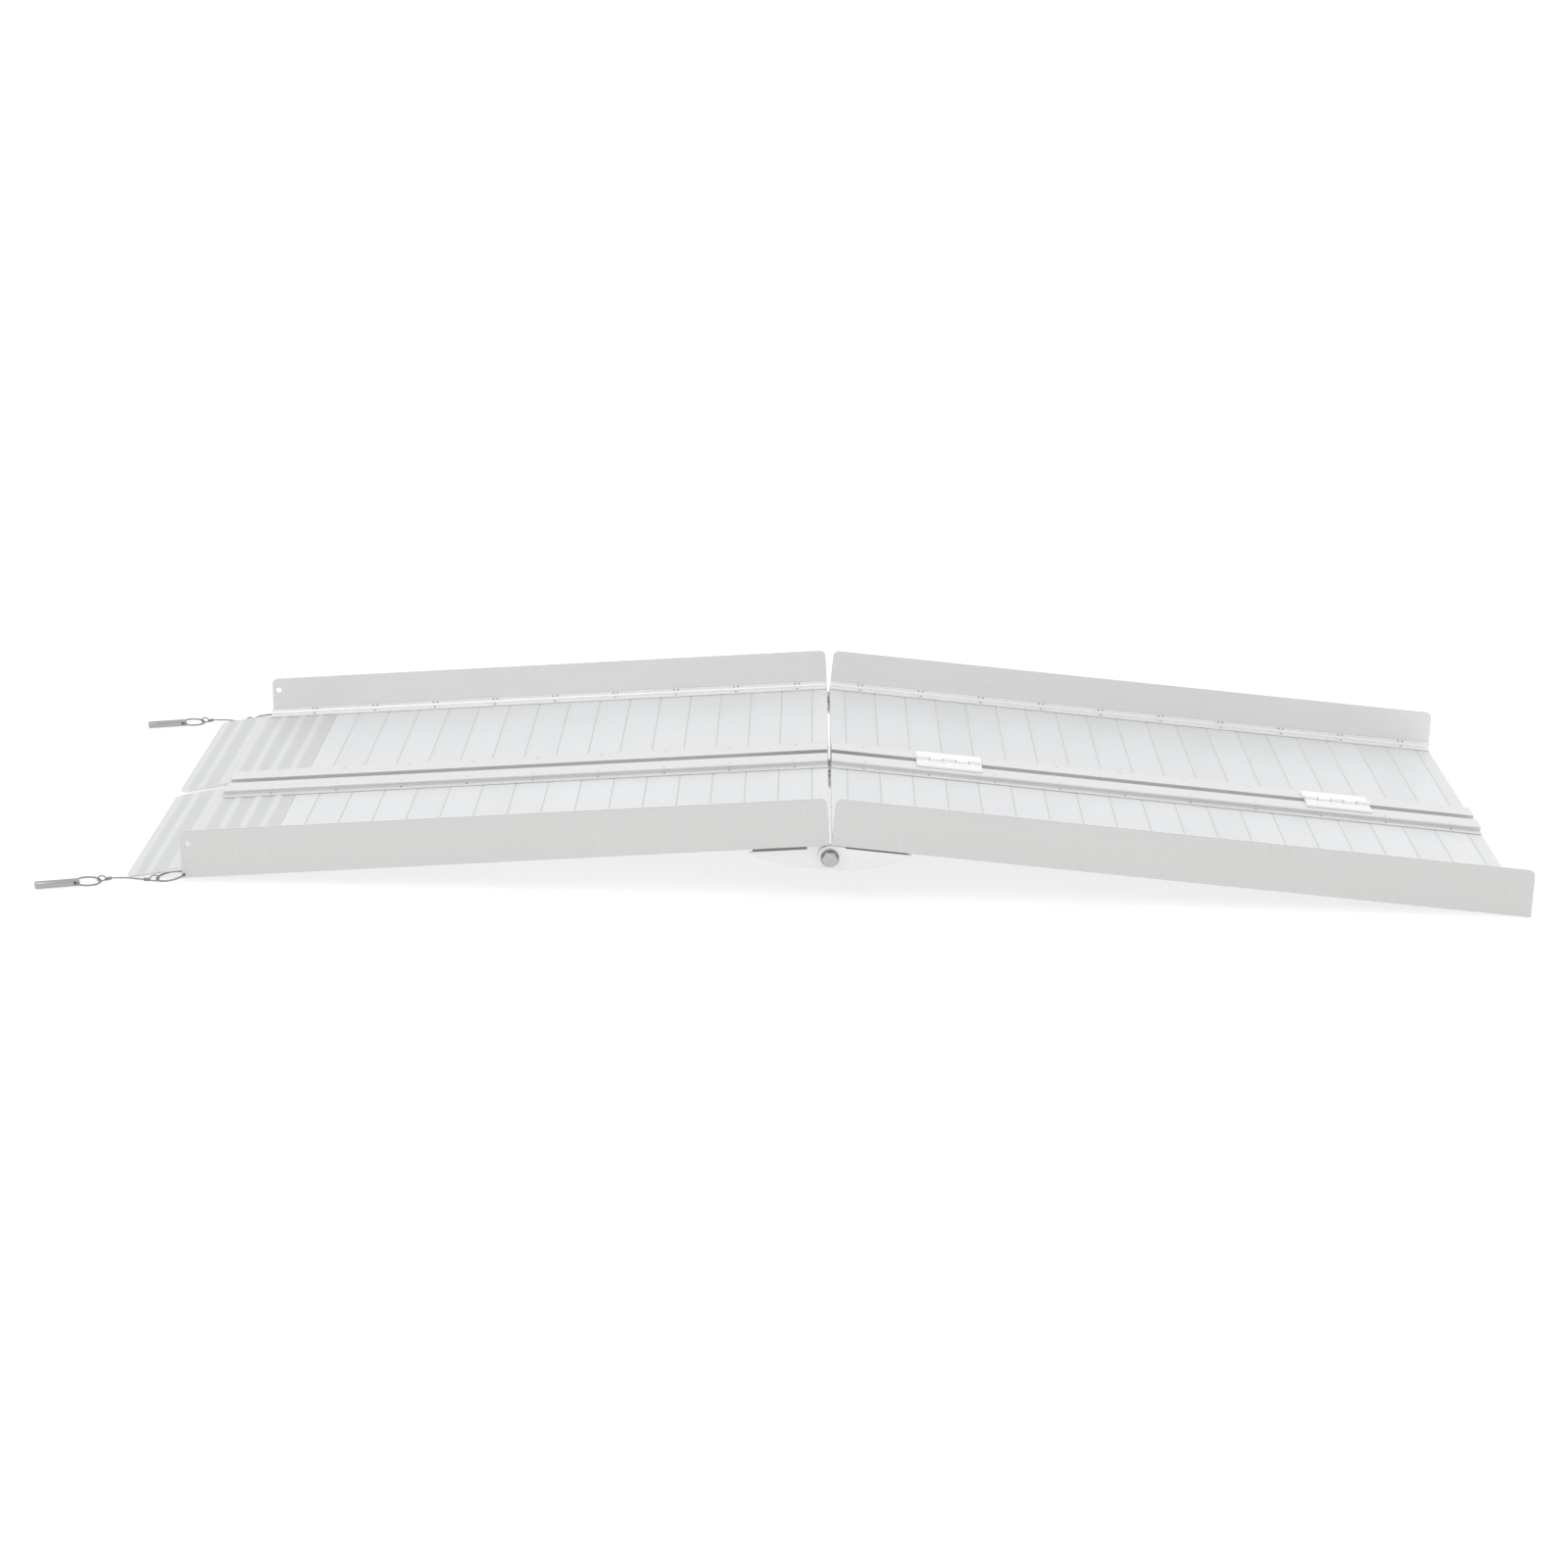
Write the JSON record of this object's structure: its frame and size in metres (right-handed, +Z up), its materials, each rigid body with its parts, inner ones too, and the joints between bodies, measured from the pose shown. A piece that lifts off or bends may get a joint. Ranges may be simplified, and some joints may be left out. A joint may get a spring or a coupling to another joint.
{
  "type": "folding loading ramp",
  "caption": "Folding aluminium loading ramp: hinged tracks with side rails and plank decks, bent lips, leaf hinges and security pins on wire lanyards, standing as a low tent.",
  "frame": {"origin": "on the floor below the middle of the fold line, half-way between the two side rails", "axes": "+X along the ramp towards the plain end, away from the lips; +Y from the near track to the far track; +Z up"},
  "size_m": [1.9385, 0.7923, 0.1365],
  "materials": {
    "rail": "mill-finish extrusion, fine lengthways grain",
    "strip": "bright extruded bead",
    "deck": "satin planks, fine grain along the plank",
    "channel": "mill-finish extrusion",
    "hinge_plate": "satin plate",
    "fastener": "zinc-plated steel",
    "leaf_hinge": "bright white-silver",
    "lip": "satin plate with low ridges",
    "pin": "polished steel",
    "ring": "steel wire",
    "wire": "stranded steel wire",
    "crimp": "crimped sleeve"
  },
  "bodies": {
    "near_left": {"side_rail_near_left": "rail", "rail_strip_near_left": "strip", "deck_near_left": "deck", "inner_channel_near_left": "channel", "hinge_plate_near_outer_left": "hinge_plate", "hinge_plate_near_inner_left": "hinge_plate", "lip_plate_near": "lip", "security_pin_near": "pin", "pin_ring_near": "ring", "anchor_ring_near": "ring", "lanyard_wire_near": "wire", "crimped_eye_near_anchor": "crimp", "crimped_eye_near_pin": "crimp"},
    "near_right": {"side_rail_near_right": "rail", "rail_strip_near_right": "strip", "deck_near_right": "deck", "inner_channel_near_right": "channel", "hinge_plate_near_outer_right": "hinge_plate", "hinge_plate_near_inner_right": "hinge_plate", "hinge_bolt_near_outer": "fastener", "hinge_washer_near_outer": "fastener", "hinge_nut_near_outer": "fastener", "hinge_bolt_near_inner": "fastener", "hinge_washer_near_inner": "fastener", "hinge_nut_near_inner": "fastener", "leaf_hinge_1_near": "leaf_hinge", "leaf_hinge_1_pin": "fastener", "leaf_hinge_2_near": "leaf_hinge", "leaf_hinge_2_pin": "fastener"},
    "far_left": {"side_rail_far_left": "rail", "rail_strip_far_left": "strip", "deck_far_left": "deck", "inner_channel_far_left": "channel", "hinge_plate_far_outer_left": "hinge_plate", "hinge_plate_far_inner_left": "hinge_plate", "lip_plate_far": "lip", "security_pin_far": "pin", "pin_ring_far": "ring", "anchor_ring_far": "ring", "lanyard_wire_far": "wire", "crimped_eye_far_anchor": "crimp", "crimped_eye_far_pin": "crimp"},
    "far_right": {"side_rail_far_right": "rail", "rail_strip_far_right": "strip", "deck_far_right": "deck", "inner_channel_far_right": "channel", "hinge_plate_far_outer_right": "hinge_plate", "hinge_plate_far_inner_right": "hinge_plate", "hinge_bolt_far_outer": "fastener", "hinge_washer_far_outer": "fastener", "hinge_nut_far_outer": "fastener", "hinge_bolt_far_inner": "fastener", "hinge_washer_far_inner": "fastener", "hinge_nut_far_inner": "fastener", "leaf_hinge_1_far": "leaf_hinge", "leaf_hinge_2_far": "leaf_hinge"}
  },
  "joints": [
    {"name": "seam_fold", "type": "hinge", "parent": "near_right", "child": "far_right", "pos_m": [0.003, 0, 0.09421], "axis": [0.9968, 0, -0.0802], "range_deg": [0, 164]},
    {"name": "near_fold", "type": "hinge", "parent": "near_right", "child": "near_left", "pos_m": [0, -0.18675, 0.05693], "axis": [0, 1, 0], "range_deg": [-170, 9.2]},
    {"name": "far_fold", "type": "hinge", "parent": "far_right", "child": "far_left", "pos_m": [0, 0.18675, 0.05693], "axis": [0, 1, 0], "range_deg": [-170, 9.2]}
  ]
}
